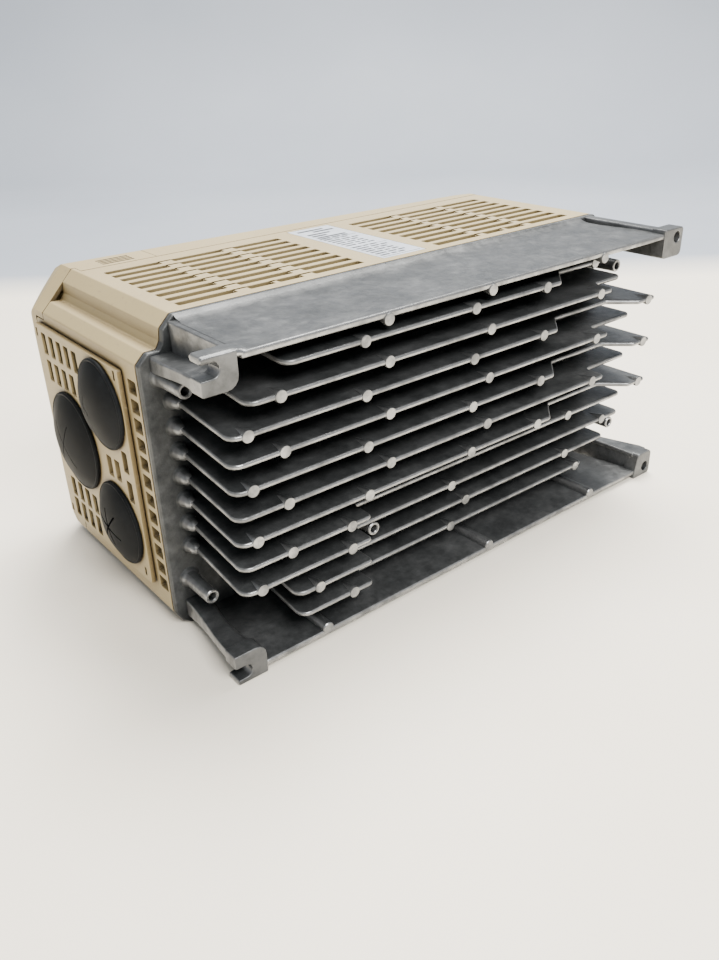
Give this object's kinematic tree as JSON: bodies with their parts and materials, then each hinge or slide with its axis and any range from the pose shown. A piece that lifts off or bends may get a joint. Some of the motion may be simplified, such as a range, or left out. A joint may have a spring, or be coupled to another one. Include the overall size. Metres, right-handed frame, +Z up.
{
  "type": "variable frequency drive",
  "caption": "Wall-mounting variable frequency drive: cast finned heat sink with slotted feet, vented plastic case, tilting terminal cover, cable grommets and a clip-in keypad operator.",
  "frame": {"origin": "centre of the bounding box's underside: the drive lies on its side, as in use on a bench", "axes": "+X from the cable end to the other end, +Y from the mounting feet to the front cover, +Z up across the drive's width"},
  "size_m": [0.289, 0.177, 0.14],
  "materials": {
    "cast_aluminium": "bare die-cast aluminium, mottled, with bright worn edges",
    "ivory_plastic": "moulded ivory plastic, fine texture",
    "label_foil": "silver-white label film",
    "rubber": "matt black rubber",
    "dark_plastic": "dark grey moulded plastic",
    "black_plastic": "black filled plastic",
    "grey_plastic": "light grey key plastic",
    "red_plastic": "red plastic",
    "green_plastic": "green plastic",
    "display_window": "smoked display window",
    "circuit_board": "green solder mask",
    "brass": "machined brass",
    "steel": "zinc-plated steel",
    "capacitor_sleeve": "shrink sleeve"
  },
  "bodies": {
    "drive": {"heat_sink": "cast_aluminium", "case": "ivory_plastic", "nameplate": "label_foil", "entry_plate": "ivory_plastic", "cable_grommet_1": "rubber", "cable_grommet_2": "rubber", "cable_grommet_3": "rubber", "front_cover": "ivory_plastic", "power_module": "black_plastic", "rectifier_module": "black_plastic", "power_board": "circuit_board", "control_board": "circuit_board", "main_terminal_block": "black_plastic", "control_terminal_block": "green_plastic", "operator_socket": "black_plastic", "charge_lamp": "red_plastic", "charge_relay": "black_plastic", "transformer": "dark_plastic", "power_board_post_1": "brass", "control_board_pillar_1": "brass", "board_screw_1": "steel", "bus_capacitor_1": "capacitor_sleeve", "power_board_post_2": "brass", "control_board_pillar_2": "brass", "board_screw_2": "steel", "bus_capacitor_2": "capacitor_sleeve", "power_board_post_3": "brass", "control_board_pillar_3": "brass", "board_screw_3": "steel", "bus_capacitor_3": "capacitor_sleeve", "power_board_post_4": "brass", "control_board_pillar_4": "brass", "board_screw_4": "steel", "bus_capacitor_4": "capacitor_sleeve", "terminal_screw_1": "steel", "terminal_screw_2": "steel", "terminal_screw_3": "steel", "terminal_screw_4": "steel", "terminal_screw_5": "steel", "terminal_screw_6": "steel", "terminal_screw_7": "steel", "terminal_screw_8": "steel", "ground_screw_1": "steel", "current_sensor_1": "black_plastic", "ground_screw_2": "steel", "current_sensor_2": "black_plastic"},
    "terminal_cover": {"terminal_cover": "ivory_plastic"},
    "operator": {"operator_case": "dark_plastic", "operator_display": "display_window"},
    "operator_latch": {"operator_latch": "dark_plastic"},
    "local_remote_key": {"local_remote_key": "grey_plastic"},
    "menu_key": {"menu_key": "grey_plastic"},
    "escape_key": {"escape_key": "grey_plastic"},
    "shift_key": {"shift_key": "grey_plastic"},
    "up_key": {"up_key": "grey_plastic"},
    "down_key": {"down_key": "grey_plastic"},
    "enter_key": {"enter_key": "grey_plastic"},
    "run_key": {"run_key": "green_plastic"},
    "stop_key": {"stop_key": "red_plastic"}
  },
  "joints": [
    {"name": "terminal_cover_tilt", "type": "hinge", "parent": "drive", "child": "terminal_cover", "pos_m": [-0.07835, 0.0835, 0.07], "axis": [0, 0, -1], "range_deg": [0, 75]},
    {"name": "operator_pull", "type": "slide", "parent": "drive", "child": "operator", "axis": [0, 1, 0], "range_m": [0, 0.03]},
    {"name": "operator_latch_press", "type": "slide", "parent": "operator", "child": "operator_latch", "axis": [0, 0, -1], "range_m": [0, 0.0012], "stiffness_N_per_m": 800},
    {"name": "local_remote_key_press", "type": "slide", "parent": "operator", "child": "local_remote_key", "axis": [0, -1, 0], "range_m": [0, 0.0008], "stiffness_N_per_m": 900},
    {"name": "menu_key_press", "type": "slide", "parent": "operator", "child": "menu_key", "axis": [0, -1, 0], "range_m": [0, 0.0008], "stiffness_N_per_m": 900},
    {"name": "escape_key_press", "type": "slide", "parent": "operator", "child": "escape_key", "axis": [0, -1, 0], "range_m": [0, 0.0008], "stiffness_N_per_m": 900},
    {"name": "shift_key_press", "type": "slide", "parent": "operator", "child": "shift_key", "axis": [0, -1, 0], "range_m": [0, 0.0008], "stiffness_N_per_m": 900},
    {"name": "up_key_press", "type": "slide", "parent": "operator", "child": "up_key", "axis": [0, -1, 0], "range_m": [0, 0.0008], "stiffness_N_per_m": 900},
    {"name": "down_key_press", "type": "slide", "parent": "operator", "child": "down_key", "axis": [0, -1, 0], "range_m": [0, 0.0008], "stiffness_N_per_m": 900},
    {"name": "enter_key_press", "type": "slide", "parent": "operator", "child": "enter_key", "axis": [0, -1, 0], "range_m": [0, 0.0008], "stiffness_N_per_m": 900},
    {"name": "run_key_press", "type": "slide", "parent": "operator", "child": "run_key", "axis": [0, -1, 0], "range_m": [0, 0.0008], "stiffness_N_per_m": 900},
    {"name": "stop_key_press", "type": "slide", "parent": "operator", "child": "stop_key", "axis": [0, -1, 0], "range_m": [0, 0.0008], "stiffness_N_per_m": 900}
  ]
}
